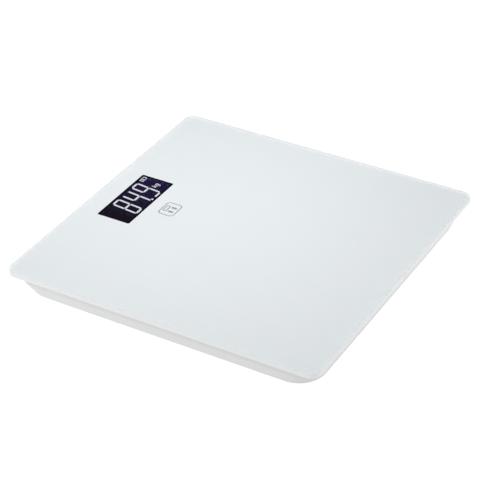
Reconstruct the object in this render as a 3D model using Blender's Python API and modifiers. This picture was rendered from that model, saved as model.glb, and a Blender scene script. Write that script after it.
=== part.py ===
"""A square, glass-topped digital bathroom scale, modelled as the assembly that comes apart on a bench.

A toughened glass platform carries four plastic seats, one near each corner. Each seat holds a steel
load cell, whose tongue carries a foot that comes out through a round opening in the base tray. The tray is
screwed up to the seats from below. It holds the circuit board with the display module, the battery
compartment with its hinged door, and the unit button.

Frame: the origin is on the floor under the platform's centre, +Z is up, +Y points to the display's edge
and +X to the right of a person who reads the display. Driving dimensions are in millimetres; mm() makes
metres.
"""

import math

import bmesh
import bpy
from mathutils import Matrix, Vector

# ------------------------------------------------------------------ driving dimensions, in millimetres
FIT = 0.3  # gap left between two pieces that touch

PLATFORM_SIDE = 300.0
PLATFORM_THICKNESS = 5.0
PLATFORM_CORNER = 10.5
PLATFORM_ARRIS = 0.5
PLATFORM_BOTTOM = 22.0  # height above the floor

FILM_MARGIN = 1.0  # clear rim of glass round the white film
FILM_THICKNESS = 0.3
WINDOW_SIZE = (75.0, 33.5)
WINDOW_Y = 114.5

TRAY_BOTTOM = 3.0
TRAY_WALL = 2.0
TRAY_RIM_INSET, TRAY_RIM_CORNER = 2.4, 20.0
TRAY_FOOT_INSET, TRAY_FOOT_CORNER = 8.4, 25.0
TRAY_CORNER_POWER = 2.5  # the corners stay near the rim's radius for most of the wall's height
TRAY_FILLET = 2.6
LEDGE_INNER, LEDGE_CORNER, LEDGE_THICKNESS = 141.0, 14.0, 1.6  # the rim's inward flange, under the glass

CELL_CENTRE = 108.0  # distance of each load cell from the centre lines
CELL_SIDE = 34.0
CELL_BOTTOM, CELL_THICKNESS = 10.0, 2.0
FOOT_RADIUS = 19.0
FOOT_OPENING = 20.0
SEAT_SIDE = 46.0
SEAT_BOTTOM, SEAT_TOP = 8.6, 19.8
EAR_OFFSET = 31.0  # from a seat's centre to its screw boss

BOARD_X, BOARD_FRONT, BOARD_BACK = 50.0, 72.0, 139.0
BOARD_BOTTOM, BOARD_THICKNESS = 10.0, 1.6
BUTTON_XY = (34.0, 80.0)
BUTTON_RADIUS = 4.0

BATTERY_RADIUS, BATTERY_LENGTH = 5.25, 44.5
BATTERY_Y = 30.0  # centre of the battery compartment
BATTERY_PITCH = 11.8  # between the axes of the two cells
BATTERY_AXIS_Z = 10.9
BAY_X, BAY_Y, BAY_TOP = 25.0, 12.2, 16.6
DOOR_Y, DOOR_END = 14.9, 30.0
DOOR_GAP = 0.4  # between the door and the edge of its opening
DOOR_THICKNESS = 2.0
HINGE_X, HINGE_Z, KNUCKLE = -30.2, 5.2, 2.2

CORNERS = {"front_left": (-1, -1), "front_right": (1, -1), "rear_left": (-1, 1), "rear_right": (1, 1)}

# ------------------------------------------------------------------ values that follow
HALF = PLATFORM_SIDE / 2
PLATFORM_TOP = PLATFORM_BOTTOM + PLATFORM_THICKNESS
TRAY_FLOOR = TRAY_BOTTOM + TRAY_WALL
FILM_BOTTOM = PLATFORM_BOTTOM - FIT - FILM_THICKNESS
UNDER_FILM = FILM_BOTTOM - FIT
TRAY_RIM = UNDER_FILM
BOARD_TOP = BOARD_BOTTOM + BOARD_THICKNESS
ON_BOARD = BOARD_TOP + FIT
CELL_TOP = CELL_BOTTOM + CELL_THICKNESS

ROUND = 32  # sides of a large turned piece
MID_ROUND = 24  # sides of a boss, a battery or a button
SMALL_ROUND = 12  # sides of a screw or a small hole

# ------------------------------------------------------------------ materials: colour, roughness, metallic
FINISHES = {
    "clear_glass": ((0.86, 0.93, 0.92), 0.03, 0.0),
    "white_film": ((0.88, 0.90, 0.92), 0.25, 0.0),
    "white_plastic": ((0.80, 0.80, 0.79), 0.45, 0.0),
    "grey_plastic": ((0.42, 0.43, 0.44), 0.55, 0.0),
    "black_plastic": ((0.03, 0.03, 0.035), 0.40, 0.0),
    "foot_rubber": ((0.62, 0.62, 0.60), 0.85, 0.0),
    "steel": ((0.60, 0.60, 0.58), 0.35, 1.0),
    "nickel": ((0.72, 0.70, 0.66), 0.25, 1.0),
    "circuit_board": ((0.03, 0.22, 0.10), 0.40, 0.0),
    "display_glass": ((0.02, 0.02, 0.06), 0.10, 0.0),
    "light_guide": ((0.85, 0.88, 0.92), 0.20, 0.0),
    "tape": ((0.75, 0.75, 0.72), 0.80, 0.0),
    "battery_sleeve": ((0.10, 0.32, 0.22), 0.35, 0.0),
    "cable_jacket": ((0.70, 0.70, 0.70), 0.60, 0.0),
    "red_jacket": ((0.62, 0.05, 0.04), 0.50, 0.0),
    "black_jacket": ((0.03, 0.03, 0.03), 0.50, 0.0),
}


def mm(*values):
    """Millimetres to metres: one number, or a tuple of them."""
    metres = tuple(value * 0.001 for value in values)
    return metres if len(metres) > 1 else metres[0]


# ------------------------------------------------------------------ scene, collections and materials
def clear_scene():
    for obj in list(bpy.data.objects):
        bpy.data.objects.remove(obj)


def new_collection(name, parent, helper=False):
    collection = bpy.data.collections.new(name)
    parent.children.link(collection)
    collection.hide_render = helper
    return collection


def make_materials():
    made = {}
    for name, (colour, roughness, metallic) in FINISHES.items():
        material = bpy.data.materials.new(name)
        material.use_nodes = True
        shader = material.node_tree.nodes["Principled BSDF"]
        shader.inputs["Base Color"].default_value = (*colour, 1.0)
        shader.inputs["Roughness"].default_value = roughness
        shader.inputs["Metallic"].default_value = metallic
        material.diffuse_color = (*colour, 1.0)
        made[name] = material
    return made


clear_scene()
SCALE = new_collection("bathroom_scale", bpy.context.scene.collection)
HELPERS = new_collection("cutters", bpy.context.scene.collection, helper=True)
MATERIALS = make_materials()


# ------------------------------------------------------------------ shapes
def object_from(name, bm, material=None, smooth_angle=40):
    """A part when it has a material, or a helper shape for a Boolean when it has none."""
    mesh = bpy.data.meshes.new(name)
    bm.to_mesh(mesh)
    bm.free()
    obj = bpy.data.objects.new(name, mesh)
    if material:
        SCALE.objects.link(obj)
        mesh.materials.append(MATERIALS[material])
        mesh.shade_smooth()
        mesh.set_sharp_from_angle(angle=math.radians(smooth_angle))
    else:
        HELPERS.objects.link(obj)
        make_helper(obj)
    return obj


def make_helper(obj):
    obj.hide_render = True
    obj.display_type = "WIRE"


def box(name, low, high, material=None, corner=0.0, corner_axis=2, segments=4):
    """A block between two corners, with the edges along corner_axis rounded."""
    bm = bmesh.new()
    bmesh.ops.create_cube(bm, size=1.0)
    size = [b - a for a, b in zip(low, high)]
    centre = [(a + b) / 2 for a, b in zip(low, high)]
    bmesh.ops.scale(bm, vec=mm(*size), verts=bm.verts)
    bmesh.ops.translate(bm, vec=mm(*centre), verts=bm.verts)
    if corner:
        along = [
            edge
            for edge in bm.edges
            if abs((edge.verts[0].co - edge.verts[1].co).normalized()[corner_axis]) > 0.99
        ]
        bmesh.ops.bevel(
            bm, geom=along, offset=mm(corner), segments=segments, profile=0.5, affect="EDGES"
        )
    return object_from(name, bm, material)


def cylinder(name, centre, radius, start, end, material=None, axis="Z", sides=ROUND):
    """A rod along axis from start to end. centre gives its other two coordinates, in X, Y, Z order."""
    bm = bmesh.new()
    turn = {
        "X": Matrix.Rotation(math.radians(90), 4, "Y"),
        "Y": Matrix.Rotation(math.radians(-90), 4, "X"),
        "Z": Matrix.Identity(4),
    }[axis]
    middle = list(centre)
    middle.insert("XYZ".index(axis), (start + end) / 2)
    bmesh.ops.create_cone(
        bm,
        cap_ends=True,
        segments=sides,
        radius1=mm(radius),
        radius2=mm(radius),
        depth=mm(end - start),
        matrix=Matrix.Translation(mm(*middle)) @ turn,
    )
    return object_from(name, bm, material)


def turned(name, profile, centre, material=None, sides=ROUND, axis="Z"):
    """A solid of revolution. profile lists (radius, height) down the outer side and back to the axis."""
    bm = bmesh.new()
    corners = [bm.verts.new((mm(radius), 0.0, mm(height))) for radius, height in profile]
    for first, second in zip(corners, corners[1:]):
        bm.edges.new((first, second))
    obj = object_from(name, bm, material)
    obj.location = mm(*centre)
    if axis == "X":
        obj.rotation_euler = (0.0, math.radians(90), 0.0)
    screw = obj.modifiers.new("turn", "SCREW")
    screw.steps = sides
    screw.render_steps = sides
    screw.use_merge_vertices = True
    screw.merge_threshold = 0.00001
    screw.use_smooth_shade = True
    return obj


def wire(name, points, radius, material=None, ring=1):
    """A round wire or cable through points in millimetres, with filled ends."""
    curve = bpy.data.curves.new(name, "CURVE")
    curve.dimensions = "3D"
    curve.bevel_depth = mm(radius)
    curve.bevel_resolution = ring
    curve.use_fill_caps = True
    spline = curve.splines.new("POLY")
    spline.points.add(len(points) - 1)
    for place, point in zip(spline.points, points):
        place.co = (*mm(*point), 1.0)
    obj = bpy.data.objects.new(name, curve)
    SCALE.objects.link(obj)
    if material:
        curve.materials.append(MATERIALS[material])
    return obj


def mesh_from_wire(obj):
    """The wire as a closed mesh that a Boolean can use. The curve object is removed."""
    bpy.context.view_layer.update()
    graph = bpy.context.evaluated_depsgraph_get()
    mesh = bpy.data.meshes.new_from_object(obj.evaluated_get(graph))
    bm = bmesh.new()
    bm.from_mesh(mesh)
    bmesh.ops.remove_doubles(bm, verts=bm.verts, dist=0.000001)
    bmesh.ops.recalc_face_normals(bm, faces=bm.faces)
    bm.to_mesh(mesh)
    bm.free()
    made = bpy.data.objects.new(obj.name + "_mesh", mesh)
    made.matrix_world = obj.matrix_world
    bpy.data.objects.remove(obj)
    HELPERS.objects.link(made)
    make_helper(made)
    return made


def boolean(obj, operation, helpers):
    """Adds one Boolean modifier for all the helper shapes, kept together in a collection of their own."""
    group = new_collection(f"{obj.name}_{operation.lower()}", HELPERS, helper=True)
    for helper in helpers:
        HELPERS.objects.unlink(helper)
        group.objects.link(helper)
    modifier = obj.modifiers.new(operation.lower(), "BOOLEAN")
    modifier.operation = operation
    modifier.operand_type = "COLLECTION"
    modifier.collection = group
    modifier.solver = "EXACT"


def bevel(obj, width, segments=2, angle=50):
    modifier = obj.modifiers.new("edges", "BEVEL")
    modifier.width = mm(width)
    modifier.segments = segments
    modifier.limit_method = "ANGLE"
    modifier.angle_limit = math.radians(angle)


def smooth_path(points, spacing):
    """Points about spacing apart on a Catmull-Rom curve through the given ones."""
    knots = [Vector(point) for point in points]
    knots = [2 * knots[0] - knots[1], *knots, 2 * knots[-1] - knots[-2]]
    path = []
    for before, start, end, after in zip(knots, knots[1:], knots[2:], knots[3:]):
        count = max(2, round((end - start).length / spacing))
        for step in range(count):
            t = step / count
            path.append(
                0.5
                * (
                    2 * start
                    + (end - before) * t
                    + (2 * before - 5 * start + 4 * end - after) * t**2
                    + (3 * start - before - 3 * end + after) * t**3
                )
            )
    return [*path, knots[-2]]


# ------------------------------------------------------------------ platform
def make_platform():
    glass = box(
        "glass_platform",
        (-HALF, -HALF, PLATFORM_BOTTOM),
        (HALF, HALF, PLATFORM_TOP),
        "clear_glass",
        corner=PLATFORM_CORNER,
        segments=8,
    )
    bevel(glass, PLATFORM_ARRIS, segments=1)

    edge = HALF - FILM_MARGIN
    film = box(
        "decor_film",
        (-edge, -edge, FILM_BOTTOM),
        (edge, edge, FILM_BOTTOM + FILM_THICKNESS),
        "white_film",
        corner=PLATFORM_CORNER - FILM_MARGIN,
        segments=6,
    )
    window_x, window_y = (side / 2 for side in WINDOW_SIZE)
    window = box(
        "film_window",
        (-window_x, WINDOW_Y - window_y, FILM_BOTTOM - 1),
        (window_x, WINDOW_Y + window_y, FILM_BOTTOM + 1),
        corner=1.0,
    )
    boolean(film, "DIFFERENCE", [window])


# ------------------------------------------------------------------ base tray
def tray_ring(inset, corner, height, steps=7):
    """Points of a rounded square, anticlockwise from above, the same number whatever its size."""
    centre = HALF - inset - corner
    points = []
    for turn in range(4):
        for step in range(steps + 1):
            angle = math.radians(90 * (turn + step / steps))
            side_x = 1 if turn in (0, 3) else -1
            side_y = 1 if turn in (0, 1) else -1
            x = side_x * centre + corner * math.cos(angle)
            y = side_y * centre + corner * math.sin(angle)
            points.append(mm(x, y, height))
    return points


def tray_shell():
    """The tray's skin: a loft from above the rim to the rounder foot of the wall, a fillet and the floor."""
    wall_foot = TRAY_BOTTOM + TRAY_FILLET
    rings = []
    for share in (-0.12, 0.35, 0.7, 1.0):
        rounding = max(share, 0.0) ** TRAY_CORNER_POWER
        rings.append(
            tray_ring(
                TRAY_RIM_INSET + (TRAY_FOOT_INSET - TRAY_RIM_INSET) * share,
                TRAY_RIM_CORNER + (TRAY_FOOT_CORNER - TRAY_RIM_CORNER) * rounding,
                TRAY_RIM + (wall_foot - TRAY_RIM) * share,
            )
        )
    for step in range(1, 4):
        angle = math.radians(90 * step / 3)
        inward = TRAY_FILLET * (1 - math.cos(angle))
        down = TRAY_FILLET * math.sin(angle)
        rings.append(
            tray_ring(TRAY_FOOT_INSET + inward, TRAY_FOOT_CORNER - inward, wall_foot - down)
        )
    bm = bmesh.new()
    rows = [[bm.verts.new(point) for point in ring] for ring in rings]
    for upper, lower in zip(rows, rows[1:]):
        for k in range(len(upper)):
            after = (k + 1) % len(upper)
            bm.faces.new((upper[k], lower[k], lower[after], upper[after]))
    bm.faces.new(list(reversed(rows[-1])))
    tray = object_from("base_tray", bm, "white_plastic")
    solidify = tray.modifiers.new("wall", "SOLIDIFY")
    solidify.thickness = mm(TRAY_WALL)
    solidify.offset = -1.0
    solidify.use_even_offset = True
    return tray


def tray_fins():
    """Short upright fins inside the wall that back up the glass edge."""
    fins = []
    inner, outer, thick, root = 130.0, 139.0, 0.8, TRAY_FLOOR - 0.5
    for along in (-64.0, -24.0, 24.0, 64.0):
        for side in (-1, 1):
            near, far = sorted((side * inner, side * outer))
            label = f"{along:.0f}_{side}"
            fins.append(
                box(f"fin_x_{label}", (near, along - thick, root), (far, along + thick, UNDER_FILM))
            )
            if side < 0 or abs(along) > BOARD_X:
                fins.append(
                    box(f"fin_y_{label}", (along - thick, near, root), (along + thick, far, UNDER_FILM))
                )
    return fins


def battery_bay():
    """The compartment's outer block, the flange the door shuts against and the cover of the knuckle."""
    wall, roof = 1.6, 1.3
    root, flange_top, cover_top = TRAY_FLOOR - 0.5, 7.0, 9.4
    flange_x, flange_y = 33.0, 17.0
    cover_y = flange_y + wall
    return [
        box(
            "bay_block",
            (-BAY_X - wall, BATTERY_Y - BAY_Y - wall, TRAY_FLOOR + 1.0),
            (BAY_X + wall, BATTERY_Y + BAY_Y + wall, BAY_TOP + roof),
        ),
        box(
            "bay_flange",
            (-flange_x, BATTERY_Y - flange_y, root),
            (flange_x, BATTERY_Y + flange_y, flange_top),
        ),
        box(
            "knuckle_cover",
            (-flange_x - wall, BATTERY_Y - cover_y, root),
            (-BAY_X - 1.0, BATTERY_Y + cover_y, cover_top),
        ),
    ]


def battery_bay_cuts():
    """Everything that is cut out round the two cells, the door, its pins and its latch."""
    below = TRAY_BOTTOM - 1
    opening_end = DOOR_END + DOOR_GAP
    opening_half = DOOR_Y + DOOR_GAP
    pocket = KNUCKLE + 0.5
    socket_radius, socket_half = 1.3, DOOR_Y + 2.2
    latch_half, latch_start, latch_top = 5.0, 27.6, 8.0
    cuts = [
        box(
            "bay_cavity",
            (-BAY_X, BATTERY_Y - BAY_Y, below),
            (BAY_X, BATTERY_Y + BAY_Y, BAY_TOP),
        ),
        box(
            "door_opening",
            (HINGE_X, BATTERY_Y - opening_half, below),
            (opening_end, BATTERY_Y + opening_half, TRAY_BOTTOM + DOOR_THICKNESS + FIT),
        ),
        cylinder(
            "knuckle_pocket",
            (HINGE_X, HINGE_Z),
            pocket,
            BATTERY_Y - opening_half,
            BATTERY_Y + opening_half,
            axis="Y",
            sides=MID_ROUND,
        ),
        box(
            "knuckle_mouth",
            (HINGE_X - pocket, BATTERY_Y - opening_half, below),
            (HINGE_X + pocket, BATTERY_Y + opening_half, HINGE_Z),
        ),
        cylinder(
            "pin_sockets",
            (HINGE_X, HINGE_Z),
            socket_radius,
            BATTERY_Y - socket_half,
            BATTERY_Y + socket_half,
            axis="Y",
            sides=SMALL_ROUND,
        ),
        box(
            "latch_slot",
            (latch_start, BATTERY_Y - latch_half, TRAY_BOTTOM + 1.0),
            (opening_end + 0.9, BATTERY_Y + latch_half, latch_top),
        ),
        finger_scoop(opening_end),
    ]
    slot_half, slot_bottom, slot_top = 1.2, 14.0, 16.4
    for side in (-1, 1):
        middle = BATTERY_Y + side * BATTERY_PITCH / 2
        cuts.append(
            box(
                f"lead_slot_{side}",
                (-BAY_X - 3.0, middle - slot_half, slot_bottom),
                (-BAY_X + 1.0, middle + slot_half, slot_top),
            )
        )
    return cuts


def finger_scoop(edge_x, radius=12.0, depth=1.3):
    """A shallow dish in the underside, beside the door's free end."""
    bm = bmesh.new()
    bmesh.ops.create_uvsphere(
        bm,
        u_segments=24,
        v_segments=24,
        radius=mm(radius),
        matrix=Matrix.Translation(mm(edge_x + 1.0, BATTERY_Y, TRAY_BOTTOM + depth - radius)),
    )
    return object_from("finger_scoop", bm)


def make_tray():
    tray = tray_shell()
    adds = tray_fins() + battery_bay()
    cuts = battery_bay_cuts()
    ledge_outer = HALF - TRAY_RIM_INSET - 1.5
    ledge_bottom = TRAY_RIM - LEDGE_THICKNESS
    adds.append(
        box(
            "ledge",
            (-ledge_outer, -ledge_outer, ledge_bottom),
            (ledge_outer, ledge_outer, TRAY_RIM + 0.5),
            corner=TRAY_RIM_CORNER - 1.0,
            segments=7,
        )
    )
    cuts += [
        box("rim_cut", (-HALF - 5, -HALF - 5, TRAY_RIM), (HALF + 5, HALF + 5, TRAY_RIM + 9)),
        box(
            "ledge_cut",
            (-LEDGE_INNER, -LEDGE_INNER, ledge_bottom - 0.1),
            (LEDGE_INNER, LEDGE_INNER, TRAY_RIM + 5),
            corner=LEDGE_CORNER,
        ),
    ]
    root, below = TRAY_BOTTOM + 1, TRAY_BOTTOM - 1  # where posts start in the floor and cutters under it
    collar_radius, collar_top = FOOT_OPENING + 1.6, 7.6
    post_radius, post_top = 5.2, 9.0
    bore_radius, bore_top, way_radius = 3.4, 6.4, 1.8
    for name, (side_x, side_y) in CORNERS.items():
        x, y = side_x * CELL_CENTRE, side_y * CELL_CENTRE
        screw_x = side_x * (CELL_CENTRE - EAR_OFFSET)
        adds += [
            cylinder(f"collar_{name}", (x, y), collar_radius, root, collar_top),
            cylinder(f"post_{name}", (screw_x, y), post_radius, root, post_top, sides=MID_ROUND),
        ]
        cuts += [
            cylinder(f"opening_{name}", (x, y), FOOT_OPENING, below, collar_top + 1.4),
            cylinder(f"counterbore_{name}", (screw_x, y), bore_radius, below, bore_top, sides=MID_ROUND),
            cylinder(
                f"screw_way_{name}", (screw_x, y), way_radius, TRAY_FLOOR, post_top + 1, sides=SMALL_ROUND
            ),
        ]
    stand_radius, stand_top = 3.4, BOARD_BOTTOM - FIT
    pilot_radius, pilot_end = 1.4, TRAY_FLOOR + 0.6
    for label, (x, y) in board_posts().items():
        adds.append(
            cylinder(f"board_post_{label}", (x, y), stand_radius, root, stand_top, sides=SMALL_ROUND)
        )
        cuts.append(
            cylinder(
                f"board_pilot_{label}", (x, y), pilot_radius, pilot_end, BOARD_BOTTOM + 1, sides=SMALL_ROUND
            )
        )
    button_collar, button_room, room_top = 7.2, 5.9, 8.0
    adds.append(cylinder("button_collar", BUTTON_XY, button_collar, root, 6.6, sides=MID_ROUND))
    cuts += [
        cylinder("button_hole", BUTTON_XY, BUTTON_RADIUS + 0.4, below, room_top, sides=MID_ROUND),
        cylinder("button_flange_room", BUTTON_XY, button_room, TRAY_FLOOR, room_top, sides=MID_ROUND),
    ]
    boolean(tray, "UNION", adds)
    boolean(tray, "DIFFERENCE", cuts)


def board_posts():
    """Centres of the four screws that hold the circuit board."""
    return {
        "front_left": (-46.5, 76.0),
        "front_right": (46.5, 76.0),
        "rear_left": (-46.5, 134.0),
        "rear_right": (46.5, 134.0),
    }


# ------------------------------------------------------------------ screws
def make_screw(name, place, head_radius, shank_radius, head_height, length, head_down=False):
    """A pan-head screw with a cross recess. place is the middle of the face under its head."""
    top = head_height
    profile = [
        (0.0, top),
        (head_radius * 0.7, top),
        (head_radius, top * 0.4),
        (head_radius, 0.0),
        (shank_radius, 0.0),
        (shank_radius, -length + shank_radius),
        (shank_radius * 0.25, -length),
        (0.0, -length),
    ]
    screw = turned(name, profile, place, "steel", sides=SMALL_ROUND)
    if head_down:
        screw.rotation_euler = (math.pi, 0.0, 0.0)
    arm, width, depth = head_radius * 0.55, head_radius * 0.13, head_height * 0.5
    sign = -1 if head_down else 1
    x, y, z = place
    ends = sorted((z + sign * (top - depth), z + sign * (top + 1.0)))
    boolean(
        screw,
        "DIFFERENCE",
        [
            box(f"{name}_slot_x", (x - arm, y - width, ends[0]), (x + arm, y + width, ends[1])),
            box(f"{name}_slot_y", (x - width, y - arm, ends[0]), (x + width, y + arm, ends[1])),
        ],
    )


# ------------------------------------------------------------------ weighing corners
def make_corner(name, side_x, side_y):
    """Everything at one corner: adhesive pad, seat, load cell, foot, anti-slip pad and two screws."""
    x, y = side_x * CELL_CENTRE, side_y * CELL_CENTRE
    pad = SEAT_SIDE / 2 - 2.5
    box(
        f"adhesive_pad_{name}",
        (x - pad, y - pad, SEAT_TOP + FIT),
        (x + pad, y + pad, UNDER_FILM),
        "tape",
        corner=3.0,
        segments=3,
    )
    make_seat(name, x, y, side_x, side_y)
    make_load_cell(name, x, y, side_y)
    make_foot(name, x, y)
    make_screw(f"foot_screw_{name}", (x, y, CELL_TOP + FIT), 2.8, 1.2, 1.4, 6.8)
    make_screw(
        f"tray_screw_{name}",
        (x - side_x * EAR_OFFSET, y, 6.1),
        3.0,
        1.4,
        1.8,
        9.0,
        head_down=True,
    )


def make_seat(name, x, y, side_x, side_y):
    half = SEAT_SIDE / 2
    pocket = CELL_SIDE / 2 + 0.4
    inner = CELL_SIDE / 2 - 2.6
    seat = box(
        f"cell_seat_{name}",
        (x - half, y - half, SEAT_BOTTOM),
        (x + half, y + half, SEAT_TOP),
        "grey_plastic",
        corner=4.0,
        segments=3,
    )
    ear_x = x - side_x * EAR_OFFSET
    web = sorted((ear_x, x - side_x * (half - 2.0)))
    boolean(
        seat,
        "UNION",
        [
            box(f"ear_web_{name}", (web[0], y - 4.0, 12.0), (web[1], y + 4.0, SEAT_TOP - 0.6)),
            cylinder(f"ear_boss_{name}", (ear_x, y), 4.4, 9.3, SEAT_TOP - 0.4, sides=MID_ROUND),
        ],
    )
    notch = sorted((y - side_y * (inner - 2.0), y - side_y * (half + 2.0)))
    boolean(
        seat,
        "DIFFERENCE",
        [
            box(
                f"cell_pocket_{name}",
                (x - pocket, y - pocket, SEAT_BOTTOM - 1),
                (x + pocket, y + pocket, CELL_TOP + FIT),
            ),
            box(
                f"seat_hollow_{name}",
                (x - inner, y - inner, SEAT_BOTTOM - 1),
                (x + inner, y + inner, SEAT_TOP - 1.8),
            ),
            box(f"cable_notch_{name}", (x - 1.6, notch[0], 12.1), (x + 1.6, notch[1], SEAT_TOP - 1.8)),
            cylinder(f"ear_pilot_{name}", (ear_x, y), 1.7, 8.5, SEAT_TOP - 1.4, sides=SMALL_ROUND),
        ],
    )
    hook_reach, hook_half = 1.1, 4.0
    hooks = []
    for side in (-1, 1):
        near, far = sorted((x + side * (pocket - hook_reach), x + side * (pocket + 1)))
        hooks.append(
            box(
                f"hook_{name}_{side}",
                (near, y - hook_half, SEAT_BOTTOM + 0.1),
                (far, y + hook_half, CELL_BOTTOM - FIT),
            )
        )
    boolean(seat, "UNION", hooks)


def make_load_cell(name, x, y, side_y):
    """A steel plate whose middle tongue is freed on three sides. The gauge patch is at its root."""
    half = CELL_SIDE / 2
    cell = box(
        f"load_cell_{name}",
        (x - half, y - half, CELL_BOTTOM),
        (x + half, y + half, CELL_TOP),
        "nickel",
        corner=2.0,
        segments=3,
    )
    patch = sorted((y - side_y * 8.5, y - side_y * 12.0))
    boolean(
        cell,
        "UNION",
        [box(f"gauge_{name}", (x - 4.0, patch[0], CELL_TOP - 0.5), (x + 4.0, patch[1], CELL_TOP + 0.6))],
    )
    tongue, slot, reach = 6.5, 2.4, 11.5
    root, tip = y - side_y * 9.0, y + side_y * reach
    run = sorted((root, tip))
    across = sorted((tip - side_y * slot, tip))
    cuts = [
        box(
            f"cross_slot_{name}",
            (x - tongue - slot, across[0], CELL_BOTTOM - 1),
            (x + tongue + slot, across[1], CELL_TOP + 2),
        ),
        cylinder(f"tongue_hole_{name}", (x, y), 1.6, CELL_BOTTOM - 1, CELL_TOP + 2, sides=SMALL_ROUND),
    ]
    for side in (-1, 1):
        edges = sorted((x + side * tongue, x + side * (tongue + slot)))
        cuts.append(
            box(
                f"side_slot_{name}_{side}",
                (edges[0], run[0], CELL_BOTTOM - 1),
                (edges[1], run[1], CELL_TOP + 2),
            )
        )
    boolean(cell, "DIFFERENCE", cuts)


def make_foot(name, x, y):
    """A shallow plastic cup with a boss that the screw pulls against the load cell's tongue."""
    cup_floor, rim, recess = 3.7, 6.2, 1.5
    profile = [
        (1.5, CELL_BOTTOM - FIT),
        (5.0, CELL_BOTTOM - FIT),
        (5.6, cup_floor),
        (FOOT_RADIUS - 2.0, cup_floor),
        (FOOT_RADIUS - 2.0, rim),
        (FOOT_RADIUS - 0.3, rim),
        (FOOT_RADIUS, rim - 0.3),
        (FOOT_RADIUS, 1.4),
        (FOOT_RADIUS - 0.6, 0.8),
        (FOOT_RADIUS - 1.2, 0.8),
        (FOOT_RADIUS - 1.2, recess),
        (0.0, recess),
    ]
    bore = [(0.0, 5.0), (1.5, 5.0)]
    turned(f"foot_{name}", [*bore, *profile], (x, y, 0.0), "white_plastic")
    pad = FOOT_RADIUS - 1.5
    turned(
        f"foot_pad_{name}",
        [(0.0, recess - FIT), (pad, recess - FIT), (pad, 0.3), (pad - 0.3, 0.0), (0.0, 0.0)],
        (x, y, 0.0),
        "foot_rubber",
    )


# ------------------------------------------------------------------ electronics
def make_board():
    board = box(
        "main_pcb",
        (-BOARD_X, BOARD_FRONT, BOARD_BOTTOM),
        (BOARD_X, BOARD_BACK, BOARD_TOP),
        "circuit_board",
        corner=2.0,
        segments=3,
    )
    holes = []
    for label, (x, y) in board_posts().items():
        holes.append(
            cylinder(f"board_hole_{label}", (x, y), 1.5, BOARD_BOTTOM - 1, BOARD_TOP + 1, sides=SMALL_ROUND)
        )
        make_screw(f"pcb_screw_{label}", (x, y, ON_BOARD), 2.4, 1.1, 1.3, 5.6)
    boolean(board, "DIFFERENCE", holes)

    chip_radius, chip_height = 6.0, 1.9
    dome = [
        (chip_radius * math.sin(math.radians(a)), chip_height * math.cos(math.radians(a)))
        for a in range(0, 91, 15)
    ]
    turned(
        "controller_chip",
        [*dome, (chip_radius, -0.2), (0.0, -0.2)],
        (-14.0, 83.0, ON_BOARD + 0.2),
        "black_plastic",
        sides=MID_ROUND,
    )
    can = [(0.0, 5.0), (2.2, 5.0), (2.5, 4.7), (2.5, 1.1), (2.3, 0.9), (2.5, 0.7), (2.5, 0.0), (0.0, 0.0)]
    turned("capacitor", can, (14.0, 80.0, ON_BOARD), "black_plastic", sides=SMALL_ROUND)


def make_display():
    """The display panel in its frame, over the light guide with its LED and the connector strip."""
    centre = WINDOW_Y
    panel_x, panel_y, panel_bottom = 40.0, 20.0, UNDER_FILM - 2.6
    frame_x, frame_y = panel_x + 2.0, panel_y + 2.0
    guide_x, guide_y, guide_top = panel_x - 1.0, panel_y - 1.0, panel_bottom - FIT
    frame = box(
        "lcd_frame",
        (-frame_x, centre - frame_y, ON_BOARD),
        (frame_x, centre + frame_y, UNDER_FILM),
        "black_plastic",
        corner=1.5,
        segments=3,
    )
    boolean(
        frame,
        "DIFFERENCE",
        [
            box(
                "panel_room",
                (-panel_x - FIT, centre - panel_y - FIT, guide_top),
                (panel_x + FIT, centre + panel_y + FIT, PLATFORM_TOP),
            ),
            box(
                "guide_room",
                (-guide_x, centre - guide_y, BOARD_BOTTOM),
                (guide_x, centre + guide_y, UNDER_FILM - 1),
            ),
        ],
    )
    box(
        "lcd_panel",
        (-panel_x, centre - panel_y, panel_bottom),
        (panel_x, centre + panel_y, UNDER_FILM),
        "display_glass",
    )
    box("light_guide", (-36.4, centre - 18.6, ON_BOARD), (38.6, centre + 13.6, guide_top), "light_guide")
    box("zebra_strip", (-35.0, centre + 15.4, ON_BOARD), (35.0, centre + 17.8, guide_top), "tape")
    led_end, led_half, led_height = -38.7, 1.8, 1.4
    box(
        "backlight_led",
        (led_end, centre - led_half, ON_BOARD),
        (led_end + 2.0, centre + led_half, ON_BOARD + led_height),
        "white_film",
    )


def make_switch():
    """A tactile switch under the board and the button cap below it, on the tray's underside."""
    x, y = BUTTON_XY
    travel_room, bore_radius = 9.2, 1.95
    body = box(
        "switch_body", (x - 3.0, y - 3.0, 7.5), (x + 3.0, y + 3.0, BOARD_BOTTOM - FIT), "black_plastic"
    )
    bore = cylinder("plunger_bore", (x, y), bore_radius, 6.5, travel_room, sides=SMALL_ROUND)
    boolean(body, "DIFFERENCE", [bore])
    cylinder("switch_plunger", (x, y), 1.65, 6.6, 8.3, "black_plastic", sides=SMALL_ROUND)
    face, flange = TRAY_BOTTOM + 0.3, TRAY_FLOOR + FIT
    profile = [
        (0.0, flange + 0.8),
        (5.4, flange + 0.8),
        (5.4, flange),
        (BUTTON_RADIUS, flange),
        (BUTTON_RADIUS, face + 0.4),
        (BUTTON_RADIUS - 0.4, face),
        (0.0, face),
    ]
    turned("unit_button", profile, (x, y, 0.0), "grey_plastic", sides=MID_ROUND)


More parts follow.
